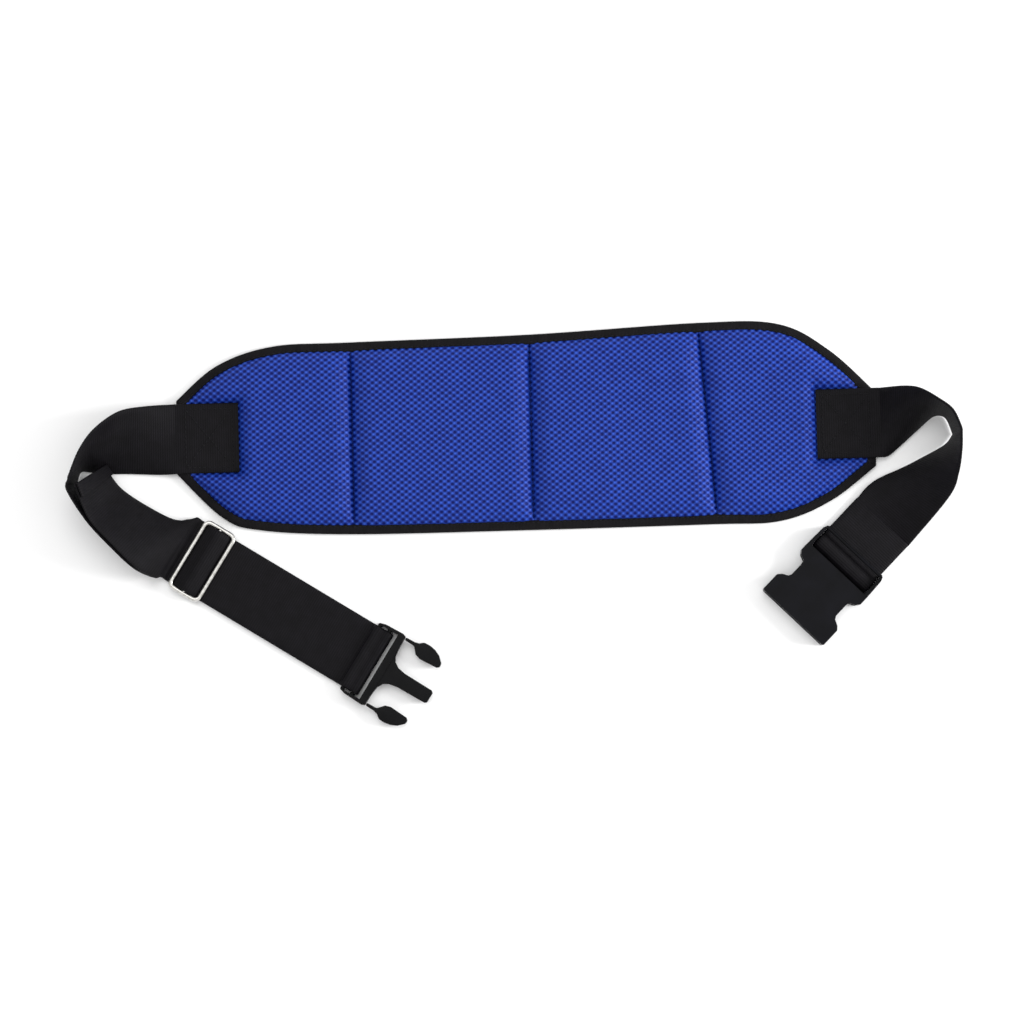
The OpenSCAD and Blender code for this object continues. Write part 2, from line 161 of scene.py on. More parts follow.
def makeWebbing(name, dark, light, rough):
    # ribbed polypropylene webbing: near black, satin, with fine ribs across it and slanting yarns
    material, tree, shader = newMaterial(name, {
        "Roughness": rough, "IOR": 1.49, "Specular IOR Level": 0.12,
        "Sheen Weight": 0.01, "Sheen Roughness": 0.5, "Sheen Tint": hexColour("#9a9aa6")})
    ribPitch = 1.6          # mm; the real rib is about 1.2 and would be too fine to show
    yarnPitch = 1.1         # mm between slanting warp yarns
    split, mapping = patternCoords(tree, 2 * math.pi * 1000 / ribPitch, 2 * math.pi * 1000 / yarnPitch)
    ribs = addNode(tree, "ShaderNodeMath", {"operation": "COSINE"}, {0: (split, "X")})
    lean = addNode(tree, "ShaderNodeMath", {"operation": "ADD"}, {0: (split, "X"), 1: (split, "Y")})
    yarns = addNode(tree, "ShaderNodeMath", {"operation": "COSINE"}, {0: (lean, 0)})
    both = addNode(tree, "ShaderNodeMath", {"operation": "MULTIPLY_ADD", 1: 0.5},
                   {0: (yarns, 0), 2: (ribs, 0)})
    level = addNode(tree, "ShaderNodeMapRange", {"From Min": -1.5, "From Max": 1.5}, {"Value": (both, 0)})
    coords = addNode(tree, "ShaderNodeTexCoord")
    wear = addNode(tree, "ShaderNodeTexNoise", {"Scale": 120.0, "Detail": 4.0},
                   {"Vector": (coords, "UV")})
    # painted shade and highlight: the colour follows the rib and yarn height, darker in the grooves and
    # lighter on the tops, varied by the wear noise
    shade = addNode(tree, "ShaderNodeMath", {"operation": "MULTIPLY"},
                    {0: (level, "Result"), 1: (wear, "Fac")})
    ramp = addNode(tree, "ShaderNodeValToRGB", {"stops": [
        (0.1, hexColour(dark)), (0.6, hexColour(light))]},
        {"Fac": (shade, 0)})
    tree.links.new(ramp.outputs["Color"], shader.inputs["Base Color"])
    bump = addNode(tree, "ShaderNodeBump", {"Strength": 0.55, "Distance": 0.0004},
                   {"Height": (level, "Result")})
    tree.links.new(bump.outputs["Normal"], shader.inputs["Normal"])
    return material


def makeBinding():
    # folded grosgrain tape: matt black with fine cross ribs
    material, tree, shader = newMaterial("grosgrainTape", {
        "Roughness": 0.72, "IOR": 1.5, "Specular IOR Level": 0.12,
        "Sheen Weight": 0.02, "Sheen Roughness": 0.5, "Sheen Tint": hexColour("#8a8a92")})
    ribPitch = 1.0          # mm, coarser than the tape's own 0.6 so that it shows
    split, mapping = patternCoords(tree, 2 * math.pi * 1000 / ribPitch, 1000)
    ribs = addNode(tree, "ShaderNodeMath", {"operation": "COSINE"}, {0: (split, "X")})
    coords = addNode(tree, "ShaderNodeTexCoord")
    wear = addNode(tree, "ShaderNodeTexNoise", {"Scale": 160.0, "Detail": 3.0},
                   {"Vector": (coords, "UV")})
    ramp = addNode(tree, "ShaderNodeValToRGB", {"stops": [
        (0.3, hexColour("#070608")), (0.7, hexColour("#100e11"))]},
        {"Fac": (wear, "Fac")})
    tree.links.new(ramp.outputs["Color"], shader.inputs["Base Color"])
    bump = addNode(tree, "ShaderNodeBump", {"Strength": 0.35, "Distance": 0.0003}, {"Height": (ribs, 0)})
    tree.links.new(bump.outputs["Normal"], shader.inputs["Normal"])
    return material


def makeLining():
    # plain woven nylon lining: flat black with a small square weave
    material, tree, shader = newMaterial("wovenLining", {
        "Roughness": 0.62, "IOR": 1.53, "Specular IOR Level": 0.2, "Sheen Weight": 0.02})
    threadPitch = 1.2       # mm; the real weave is about 0.4
    split, mapping = patternCoords(tree, 2 * math.pi * 1000 / threadPitch, 2 * math.pi * 1000 / threadPitch)
    warp = addNode(tree, "ShaderNodeMath", {"operation": "SINE"}, {0: (split, "X")})
    weft = addNode(tree, "ShaderNodeMath", {"operation": "SINE"}, {0: (split, "Y")})
    weave = addNode(tree, "ShaderNodeMath", {"operation": "MULTIPLY"}, {0: (warp, 0), 1: (weft, 0)})
    level = addNode(tree, "ShaderNodeMapRange", {"From Min": -1.0, "From Max": 1.0},
                    {"Value": (weave, 0)})
    # painted shade and highlight: the colour follows the weave height, lighter on the raised threads and
    # darker between them
    ramp = addNode(tree, "ShaderNodeValToRGB", {"stops": [
        (0.2, hexColour("#121215")), (0.8, hexColour("#26262b"))]},
        {"Fac": (level, "Result")})
    tree.links.new(ramp.outputs["Color"], shader.inputs["Base Color"])
    bump = addNode(tree, "ShaderNodeBump", {"Strength": 0.5, "Distance": 0.0002},
                   {"Height": (level, "Result")})
    tree.links.new(bump.outputs["Normal"], shader.inputs["Normal"])
    return material


def makeThread(name, dark, light):
    # spun polyester sewing thread: a soft twist along each stitch
    material, tree, shader = newMaterial(name, {
        "Roughness": 0.55, "IOR": 1.5, "Specular IOR Level": 0.15, "Sheen Weight": 0.02})
    coords = addNode(tree, "ShaderNodeTexCoord")
    twist = addNode(tree, "ShaderNodeTexNoise", {"Scale": 1800.0, "Detail": 2.0},
                    {"Vector": (coords, "Object")})
    ramp = addNode(tree, "ShaderNodeValToRGB", {"stops": [
        (0.3, hexColour(dark)), (0.7, hexColour(light))]},
        {"Fac": (twist, "Fac")})
    tree.links.new(ramp.outputs["Color"], shader.inputs["Base Color"])
    bump = addNode(tree, "ShaderNodeBump", {"Strength": 0.4, "Distance": 0.0002},
                   {"Height": (twist, "Fac")})
    tree.links.new(bump.outputs["Normal"], shader.inputs["Normal"])
    return material


def makeNickel():
    # nickel-plated steel wire, rolled smooth: bright satin with faint drawn streaks
    material, tree, shader = newMaterial("nickelPlatedWire", {
        "Metallic": 1.0, "Roughness": 0.3, "Base Color": hexColour("#c9c7c2")})
    coords = addNode(tree, "ShaderNodeTexCoord")
    streak = addNode(tree, "ShaderNodeTexNoise", {"Scale": 420.0, "Detail": 5.0},
                     {"Vector": (coords, "Object")})
    rough = addNode(tree, "ShaderNodeMapRange", {"To Min": 0.22, "To Max": 0.42},
                    {"Value": (streak, "Fac")})
    tree.links.new(rough.outputs["Result"], shader.inputs["Roughness"])
    tone = addNode(tree, "ShaderNodeValToRGB", {"stops": [
        (0.3, hexColour("#b4b2ad")), (0.7, hexColour("#dcdad6"))]},
        {"Fac": (streak, "Fac")})
    tree.links.new(tone.outputs["Color"], shader.inputs["Base Color"])
    bump = addNode(tree, "ShaderNodeBump", {"Strength": 0.12, "Distance": 0.0002},
                   {"Height": (streak, "Fac")})
    tree.links.new(bump.outputs["Normal"], shader.inputs["Normal"])
    return material


def makeAcetal(name, dark, light, rough):
    # injection-moulded acetal: black, glossy on the edges, with a very fine moulded grain
    material, tree, shader = newMaterial(name, {
        "Roughness": rough, "IOR": 1.48, "Specular IOR Level": 0.1,
        "Coat Weight": 0.02, "Coat Roughness": 0.2})
    coords = addNode(tree, "ShaderNodeTexCoord")
    grain = addNode(tree, "ShaderNodeTexNoise", {"Scale": 2200.0, "Detail": 2.0},
                    {"Vector": (coords, "Object")})
    cloud = addNode(tree, "ShaderNodeTexNoise", {"Scale": 60.0, "Detail": 3.0},
                    {"Vector": (coords, "Object")})
    tone = addNode(tree, "ShaderNodeValToRGB", {"stops": [
        (0.3, hexColour(dark)), (0.7, hexColour(light))]},
        {"Fac": (cloud, "Fac")})
    tree.links.new(tone.outputs["Color"], shader.inputs["Base Color"])
    scuff = addNode(tree, "ShaderNodeMapRange", {"To Min": rough - 0.06, "To Max": rough + 0.1},
                    {"Value": (cloud, "Fac")})
    tree.links.new(scuff.outputs["Result"], shader.inputs["Roughness"])
    bump = addNode(tree, "ShaderNodeBump", {"Strength": 0.12, "Distance": 0.0001},
                   {"Height": (grain, "Fac")})
    tree.links.new(bump.outputs["Normal"], shader.inputs["Normal"])
    return material


airMesh = makeAirMesh()
webbing = makeWebbing("ribbedPolypropylene", "#050406", "#131116", 0.6)
binding = makeBinding()
lining = makeLining()
blueThread = makeThread("blueSpunThread", "#06104a", "#0e2378")
blackThread = makeThread("blackSpunThread", "#070708", "#141317")
nickel = makeNickel()
plugAcetal = makeAcetal("glossyAcetal", "#040405", "#08080a", 0.24)
socketAcetal = makeAcetal("satinAcetal", "#060608", "#0c0c11", 0.34)
print("materials made")


def makeMesh(name, points, faces, material, uvs=None, smooth=True):
    mesh = bpy.data.meshes.new(name)
    mesh.from_pydata([tuple(p) for p in points], [], [tuple(f) for f in faces])
    if uvs is not None:
        layer = mesh.uv_layers.new(name="UVMap")
        index = np.empty(len(mesh.loops), dtype=np.int32)
        mesh.loops.foreach_get("vertex_index", index)
        layer.data.foreach_set("uv", np.asarray(uvs, dtype=np.float32)[index].ravel())
    mesh.materials.append(material)
    mesh.polygons.foreach_set("use_smooth", [smooth] * len(mesh.polygons))
    mesh.update()
    piece = bpy.data.objects.new(name, mesh)
    bpy.context.scene.collection.objects.link(piece)
    return piece


def smoothLine(points, steps):
    # the same curve through points that the CAD straps and outline use
    points = [np.array(p, float) for p in points]
    out = []
    for i in range(len(points) - 1):
        a, b = points[max(i - 1, 0)], points[i]
        c, d = points[i + 1], points[min(i + 2, len(points) - 1)]
        for k in range(steps):
            t = k / steps
            out.append((2 * b + (c - a) * t + (2 * a - 5 * b + 4 * c - d) * t * t
                        + (3 * b - a - 3 * c + d) * t ** 3) / 2)
    out.append(points[-1])
    return np.array(out)


def ring(a, b):
    # quads between two closed rings of corner numbers
    return [[a[i], a[(i + 1) % len(a)], b[(i + 1) % len(b)], b[i]] for i in range(len(a))]


def ownCaps(points, faces, uvs, rings):
    # end faces get their own corners, so that a cut end doesn't bend the shading of the cloth beside it
    for ringOf, turned in rings:
        start = len(points)
        points = np.vstack([points, points[ringOf]])
        uvs = np.vstack([uvs, uvs[ringOf]])
        cap = list(range(start, start + len(ringOf)))
        faces.append(cap[::-1] if turned else cap)
    return points, faces, uvs


pad = {"crown": 11.6, "edgeLap": 6.8, "edgeSlope": 17.0, "seamSlope": 15.0, "seamX": (-123, 2.5, 126),
       "seamLean": (0, 0, 4.1), "foot": 2.7, "cell": 0.68, "patchZ": 3.75}
outlineTop = smoothLine([(-246, 26), (-217, 50), (-178, 62.5), (-123, 64), (3, 66), (123, 71),
                         (178, 68.5), (213, 49), (243, 20)], 12)
outlineBottom = smoothLine([(243, -33), (211, -56.5), (175, -70), (126, -71), (3, -71.5),
                            (-123, -71), (-188, -66.5), (-215, -57), (-246, -26)], 12)
outline = np.vstack([outlineTop, outlineBottom])
panelBodies = ["outer_left_panel", "inner_left_panel", "inner_right_panel", "outer_right_panel"]
patchRects = {0: (-246.5, -202.5, -25.5, 23.5), 3: (202, 246, -27.5, 21.5)}


def distanceToOutline(points):
    a, b = outline, np.roll(outline, -1, axis=0)
    best = np.full(len(points), 1e9)
    for p, q in zip(a, b):
        d = q - p
        length = float(d @ d)
        if length < 1e-9:
            continue
        t = np.clip(((points - p) @ d) / length, 0, 1)
        best = np.minimum(best, np.hypot(*(points - p - t[:, None] * d).T))
    return best


def seamLine(k, y):
    return pad["seamX"][k] - math.tan(math.radians(pad["seamLean"][k])) * y


def distanceToSeam(k, points):
    lean = math.radians(pad["seamLean"][k])
    return abs((points[:, 0] - pad["seamX"][k]) * math.cos(lean) + points[:, 1] * math.sin(lean))


def shoulder(d, width, power):
    t = np.clip(d / width, 0, 1)
    return (1 - (1 - t) ** 2) ** power


def panelPlan(k, inset, nx, ny, seamGap=0.0):
    # grid of plan points over a panel, from seam to seam and from edge to edge
    s = np.linspace(0, 1, nx)[:, None] * np.ones((1, ny))
    t = np.ones((nx, 1)) * np.linspace(0, 1, ny)[None, :]
    lowX = -246 + inset if k == 0 else pad["seamX"][k - 1] + seamGap
    highX = 243 - inset if k == 3 else pad["seamX"][k] - seamGap
    x = lowX + (highX - lowX) * s
    bottom = outlineBottom[::-1]
    for _ in range(3):
        top = np.interp(x, outlineTop[:, 0], outlineTop[:, 1]) - inset
        low = np.interp(x, bottom[:, 0], bottom[:, 1]) + inset
        y = low + (top - low) * t
        left = lowX if k == 0 else lowX - np.tan(np.radians(pad["seamLean"][k - 1])) * y
        right = highX if k == 3 else highX - np.tan(np.radians(pad["seamLean"][k])) * y
        x = left + (right - left) * s
    return np.stack([x, y], axis=-1)


def coverHeight(k, points):
    edge = distanceToOutline(points)
    height = shoulder(edge - pad["edgeLap"] + 1.0, pad["edgeSlope"], 0.62)
    for seam in [j for j in (k - 1, k) if 0 <= j < 3]:
        height = height * shoulder(distanceToSeam(seam, points) - 0.2, pad["seamSlope"], 0.55)
    z = pad["foot"] + (pad["crown"] - pad["foot"]) * height
    swell = np.array([noise.noise(Vector((p[0] * 0.018, p[1] * 0.018, 3.1 * k))) for p in points])
    pucker = np.array([noise.noise(Vector((p[0] * 0.05, p[1] * 0.13, 7.7))) for p in points])
    near = np.exp(-np.clip(edge - pad["edgeLap"], 0, 99) / 8.0)
    z = z + height * (0.9 * swell + 0.5 * pucker * near)
    if k in patchRects:
        x0, x1, y0, y1 = patchRects[k]
        out = np.hypot(np.clip(np.maximum(x0 - points[:, 0], points[:, 0] - x1), 0, None),
                       np.clip(np.maximum(y0 - points[:, 1], points[:, 1] - y1), 0, None))
        press = shoulder(out - 0.6, 11.0, 0.75)
        z = np.minimum(z, pad["patchZ"] + (z - pad["patchZ"]).clip(0) * press)
    return z


def knitDepth(points):
    wave = np.cos(2 * np.pi * points[:, 0] / airMeshKnit["alongPitch"]) * \
        np.cos(2 * np.pi * points[:, 1] / airMeshKnit["acrossPitch"])
    knit = airMeshKnit
    t = np.clip((wave - knit["holeStart"]) / (knit["holeFull"] - knit["holeStart"]), 0, 1)
    return airMeshKnit["depth"] * t * t * (3 - 2 * t)


def gridFaces(nx, ny):
    index = np.arange(nx * ny).reshape(nx, ny)
    return np.stack([index[:-1, :-1], index[1:, :-1], index[1:, 1:], index[:-1, 1:]], axis=-1).reshape(-1, 4)


def gridRim(nx, ny):
    index = np.arange(nx * ny).reshape(nx, ny)
    return list(index[:, 0]) + list(index[-1, 1:]) + list(index[-2::-1, -1]) + list(index[0, -2:0:-1])


def closedPanel(name, k, inset, cell, heightOf, under, material, seamGap=0.0):
    nx, ny = int(124 / cell), int(136 / cell)
    plan = panelPlan(k, inset, nx, ny, seamGap).reshape(-1, 2)
    z = heightOf(plan)
    top = np.column_stack([plan, z]) * mm
    rim = gridRim(nx, ny)
    low = top[rim].copy()
    low[:, 2] = under * mm
    points = np.vstack([top, low])
    n = len(top)
    count = len(rim)
    sides = [[rim[(i + 1) % count], rim[i], n + i, n + (i + 1) % count] for i in range(count)]
    faces = gridFaces(nx, ny).tolist() + sides + [[n + i for i in range(count - 1, -1, -1)]]
    piece = makeMesh(name, points, faces, material, uvs=points[:, :2])
    return piece


for k in range(4):
    cover = closedPanel(f"airMeshCover{k + 1}", k, 3.5, pad["cell"],
                        lambda p, k=k: coverHeight(k, p) - knitDepth(p), 1.6, airMesh)
    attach(cover, panelBodies[k])
    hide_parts(f"mesh_cover_{k + 1}", f"foam_core_{k + 1}")
print("pad covers made")

# back lining: woven cloth pulled slightly in at the seams; a separate strip of it lies across each seam
backing = {"top": 1.55, "strip": 5.0, "ripple": 0.22}


def liningUnder(points):
    ripple = np.array([noise.noise(Vector((p[0] * 0.03, p[1] * 0.06, 11.0))) for p in points])
    return backing["ripple"] * (0.5 + 0.5 * ripple)


def clothSlab(name, plan, nx, ny, material):
    # thin closed slab over a grid of plan points, with a softly rippled underside
    n = nx * ny
    low = np.column_stack([plan, liningUnder(plan)]) * mm
    top = np.column_stack([plan, np.full(n, backing["top"])]) * mm
    rim = gridRim(nx, ny)
    count = len(rim)
    grid = gridFaces(nx, ny)
    faces = grid.tolist() + (grid[:, ::-1] + n).tolist()
    faces += [[rim[(i + 1) % count], rim[i], n + rim[i], n + rim[(i + 1) % count]] for i in range(count)]
    points = np.vstack([top, low])
    return makeMesh(name, points, faces, material, uvs=points[:, :2])


for k in range(4):
    plan = panelPlan(k, 1.5, 30, 34, backing["strip"]).reshape(-1, 2)
    sheet = clothSlab(f"backLining{k + 1}", plan, 30, 34, lining)
    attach(sheet, panelBodies[k])
    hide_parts(f"back_lining_{k + 1}")
for k in range(3):
    y0 = np.interp(pad["seamX"][k], outlineBottom[::-1, 0], outlineBottom[::-1, 1]) + 1.5
    y1 = np.interp(pad["seamX"][k], outlineTop[:, 0], outlineTop[:, 1]) - 1.5
    plan = np.array([[seamLine(k, y) + x, y] for x in np.linspace(-backing["strip"], backing["strip"], 11)
                     for y in np.linspace(y0, y1, 34)])
    sheet = clothSlab(f"liningAtSeam{k + 1}", plan, 11, 34, lining)
    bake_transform(sheet)

# edge binding: tape folded over the pad's edge, as [distance in from the edge, height]
bindingFold = [(6.9, 2.6), (6.8, 3.5), (6.0, 3.95), (4.2, 4.15), (2.0, 4.0), (0.7, 3.5), (0.1, 2.7),
               (0.0, 1.9), (0.2, 1.0), (0.9, 0.3), (2.2, 0.02), (6.6, 0.0), (6.8, 0.5)]


def sweepBinding(line, startLength):
    # line: plan points of the pad's edge, run clockwise seen from above, so that inward is on its right
    d = np.gradient(line, axis=0)
    d /= np.linalg.norm(d, axis=1)[:, None]
    inward = np.column_stack([d[:, 1], -d[:, 0]])
    along = np.concatenate([[0], np.cumsum(np.linalg.norm(np.diff(line, axis=0), axis=1))]) + startLength
    points, uvs = [], []
    for i, p in enumerate(line):
        wobble = 0.22 * noise.noise(Vector((along[i] * 0.06, 1.7, 0)))
        for j, (deep, z) in enumerate(bindingFold):
            lap = deep + (wobble * 2 if deep > 4 and z > 2 else 0)
            points.append([p[0] + inward[i][0] * lap, p[1] + inward[i][1] * lap,
                           z + (wobble if z > 3 else 0)])
            uvs.append([along[i] * mm, j * 1.5 * mm])
    m = len(bindingFold)
    faces = []
    for i in range(len(line) - 1):
        faces += ring([i * m + j for j in range(m)], [(i + 1) * m + j for j in range(m)])
    points, uvs = np.array(points) * mm, np.array(uvs)
    first, last = list(range(m)), list(range((len(line) - 1) * m, len(line) * m))
    return ownCaps(points, faces, uvs, [(first, True), (last, False)])


def resample(line, step):
    line = np.asarray(line, float)
    length = np.concatenate([[0], np.cumsum(np.linalg.norm(np.diff(line, axis=0), axis=1))])
    count = max(int(round(length[-1] / step)), 2)
    want = np.linspace(0, length[-1], count + 1)
    return np.column_stack([np.interp(want, length, line[:, c]) for c in range(line.shape[1])])


def joinParts(name, parts, material, smooth=True):
    points, faces, uvs, start = [], [], [], 0
    for p, f, u in parts:
        points.append(np.asarray(p))
        faces += [[i + start for i in face] for face in f]
        uvs.append(np.asarray(u))
        start += len(p)
    return makeMesh(name, np.vstack(points), faces, material, np.vstack(uvs), smooth)


foldReach = 5.0   # the binding and its stitches within this much each side of a seam are made as pieces of their own, not carried by a panel
closedEdge = resample(np.vstack([outline, outline[:1]]), 1.0)
# start the loop at the left end's middle, so that no panel's stretch crosses the start
startAt = int(np.argmin(np.hypot(closedEdge[:, 0] + 246, closedEdge[:, 1])))
closedEdge = np.vstack([closedEdge[startAt:-1], closedEdge[:startAt + 1]])


def edgeZone(p):
    # number of the panel that a point of the edge is on, or the seam's name near one
    for k in range(3):
        if abs(p[0] - seamLine(k, p[1])) < foldReach:
            return f"seam{k}"
    return f"panel{sum(p[0] > seamLine(k, p[1]) for k in range(3))}"


zones = [edgeZone(p) for p in closedEdge]
stretches, first = [], 0
for i in range(1, len(zones) + 1):
    if i == len(zones) or zones[i] != zones[first]:
        stretches.append((zones[first], first, min(i, len(zones) - 1)))
        first = i


def stitchRow(path, ups, length, pitch, radius, lift):
    # rounded stitches laid along a path; ups are the surface normals at the path's points
    path = np.asarray(path, float)
    far = np.concatenate([[0], np.cumsum(np.linalg.norm(np.diff(path, axis=0), axis=1))])
    points, faces, uvs = [], [], []
    at = pitch * 0.5
    while at + length / 2 < far[-1]:
        centre = np.array([np.interp(at, far, path[:, c]) for c in range(3)])
        ahead = np.array([np.interp(min(at + 0.5, far[-1]), far, path[:, c]) for c in range(3)])
        up = np.array([np.interp(at, far, ups[:, c]) for c in range(3)])
        run = ahead - centre
        run /= np.linalg.norm(run)
        side = np.cross(up, run)
        side /= np.linalg.norm(side)
        start = len(points)
        profile = [(-0.5, 0.25), (-0.36, 0.85), (0, 1.05), (0.36, 0.85), (0.5, 0.25)]
        for f, r in profile:
            sink = lift - 0.45 * radius * (abs(f) * 2) ** 3
            for a in range(6):
                turn = a * math.pi / 3
                points.append(centre + run * f * length + side * math.cos(turn) * r * radius
                              + up * (math.sin(turn) * r * radius + sink))
                uvs.append((0, 0))
        for b in range(len(profile) - 1):
            faces += ring([start + b * 6 + a for a in range(6)], [start + b * 6 + 6 + a for a in range(6)])
        faces += [[start + a for a in range(6)][::-1], [start + 24 + a for a in range(6)]]
        at += pitch
    return np.array(points) * mm, faces, uvs


up3 = np.array([0.0, 0.0, 1.0])
panelTape, seamTape, panelStitch, seamStitch = {}, {}, {}, {}
for zone, a, b in stretches:
    line = closedEdge[a:b + 1]
    part = sweepBinding(line, a * 1.0)
    k = int(zone[-1])
    (seamTape if zone.startswith("seam") else panelTape).setdefault(k, []).append(part)
    d = np.gradient(line, axis=0)
    d /= np.linalg.norm(d, axis=1)[:, None]
    inner = line + np.column_stack([d[:, 1], -d[:, 0]]) * 5.3
    path = np.column_stack([inner, np.full(len(inner), 3.95)])
    row = stitchRow(path, np.tile(up3, (len(path), 1)), 2.6, 3.6, 0.32, 0.12)
    (panelStitch if zone.startswith("panel") else seamStitch).setdefault(k, []).append(row)
for k in range(4):
    tape = joinParts(f"edgeBinding{k + 1}", panelTape[k], binding)
    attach(tape, panelBodies[k])
    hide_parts(f"edge_binding_{k + 1}")
    stitches = joinParts(f"bindingStitches{k + 1}", panelStitch[k], blackThread)
    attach(stitches, panelBodies[k])
for k in range(3):
    tape = joinParts(f"bindingAtSeam{k + 1}", seamTape[k], binding)
    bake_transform(tape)
    stitches = joinParts(f"bindingStitchesAtSeam{k + 1}", seamStitch[k], blackThread)
    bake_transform(stitches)
    # quilting thread down the groove
    y = np.linspace(-63, 60, 60)
    path = np.column_stack([[seamLine(k, v) for v in y], y, np.full(60, pad["foot"] + 0.25)])
    row = joinParts(f"seamThread{k + 1}", [stitchRow(path, np.tile(up3, (60, 1)), 3.0, 4.0, 0.4, 0.1)],
                    blueThread)
    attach(row, panelBodies[1] if k < 2 else panelBodies[2])
    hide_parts(f"seam_thread_{k + 1}")
print("binding and seams made")


strap = {"width": 49.0, "thick": 1.6, "ribPitch": 1.6, "ribHeight": 0.10, "step": 0.4, "layer1": 0.2,
         "layer2": 2.1, "patchMid": 4.7}
leftOrigin, leftHeading = (-230, -87), -32.5
rightOrigin, rightHeading = (224.3, -94.2), -135
plugCrease, socketCrease = 126, -4.5
straightStart, rightStraightStart = -15.5, -30


def place(origin, heading, u, v):
    a = math.radians(heading)
    return (origin[0] + u * math.cos(a) - v * math.sin(a), origin[1] + u * math.sin(a) + v * math.cos(a))


plugOrigin = place(leftOrigin, leftHeading, plugCrease, 0)


def station(outer, inner, z, flat=False):
    # the outer edge stands as high as the webbing's width needs
    wide = math.dist(outer, inner)
    rise = 0 if flat else math.sqrt(max(strap["width"] ** 2 - wide ** 2, 0))
    return [*outer, z + rise, *inner, z]


def flatStation(origin, heading, u, side, z):
    half = side * strap["width"] / 2
    return station(place(origin, heading, u, half), place(origin, heading, u, -half), z, True)


def leanStation(origin, heading, u, side, z, rise):
    # near a straight's start, its outer edge still raised a little
    wide = math.sqrt(strap["width"] ** 2 - rise * rise)
    outer = place(origin, heading, u, side * (wide - strap["width"] / 2))
    inner = place(origin, heading, u, -side * strap["width"] / 2)
    return [*outer, z + rise, *inner, z]


def above(stations, k, d):
    q = np.array(stations[k])
    before, after = np.array(stations[max(k - 1, 0)]), np.array(stations[min(k + 1, len(stations) - 1)])
    run = (after[:3] + after[3:]) / 2 - (before[:3] + before[3:]) / 2
    n = np.cross(run, q[3:] - q[:3])
    n = n / np.linalg.norm(n) * d
    return [*(q[:3] + n), *(q[3:] + n)]


z1 = strap["layer1"] + strap["thick"] / 2
z2 = strap["layer2"] + strap["thick"] / 2
leftUpper = [station((-246.9, 23.5), (-246.9, -25.5), strap["patchMid"], True),
             station((-266, 21.5), (-268, -25), 1.6),
             station((-284, 17.5), (-290, -24), 0.9), station((-299, 5), (-306, -22.5), 0.9),
             station((-309, -10), (-314, -22), 0.9), station((-316.8, -28.6), (-317, -29.4), 0.9)]
leftTurn = [station((-317.2, -31), (-317, -30.3), 0.9), station((-318, -38.5), (-313.6, -33.6), 0.9),
            station((-306.6, -58.9), (-288, -35.6), 1.2), station((-291, -77), (-268, -49.7), 1.2),
            station((-276.5, -91.5), (-250, -58.2), 1.2), station((-265.5, -97.3), (-238.8, -57.1), 1.1),
            leanStation(leftOrigin, leftHeading, straightStart - 3.5, -1, z1 + 0.1, 2.5),
            flatStation(leftOrigin, leftHeading, straightStart, -1, z1)]
leftTail = [station((-312.4, -34.6), (-296.4, -18.4), 9), above(leftTurn, 2, 3.2),
            above(leftTurn, 3, 3.4), above(leftTurn, 4, 3.6), above(leftTurn, 5, 3.7),
            leanStation(leftOrigin, leftHeading, straightStart - 3.5, -1, z2 + 0.8, 2.5),
            flatStation(leftOrigin, leftHeading, straightStart, -1, z2)]
rightUpper = [station((246.9, 21.5), (246.9, -27.5), strap["patchMid"], True),
              station((262, 20), (259.5, -20.5), 1.6),
              station((272, 16.5), (272, -9.5), 0.9), station((283, 8.5), (284, 0.5), 0.9),
              station((292.4, 0.4), (292.8, -0.4), 0.9), station((297.6, -11.4), (297.8, -12.2), 0.9)]
rightTurn = [station((298, -13.5), (297.8, -12.7), 0.9), station((297.5, -27.5), (291.5, -20), 0.9),
             station((295.5, -43), (276, -28), 0.9), station((290, -58), (258.5, -36), 0.9),
             flatStation(rightOrigin, rightHeading, rightStraightStart - 5, 1, z2),
             flatStation(rightOrigin, rightHeading, rightStraightStart, 1, z2)]


def profilePairs(origin, heading, path, side):
    # straight webbing whose side view is a path of (u, z); side is the outer edge's side
    return np.array([flatStation(origin, heading, u, side, z) for u, z in path])


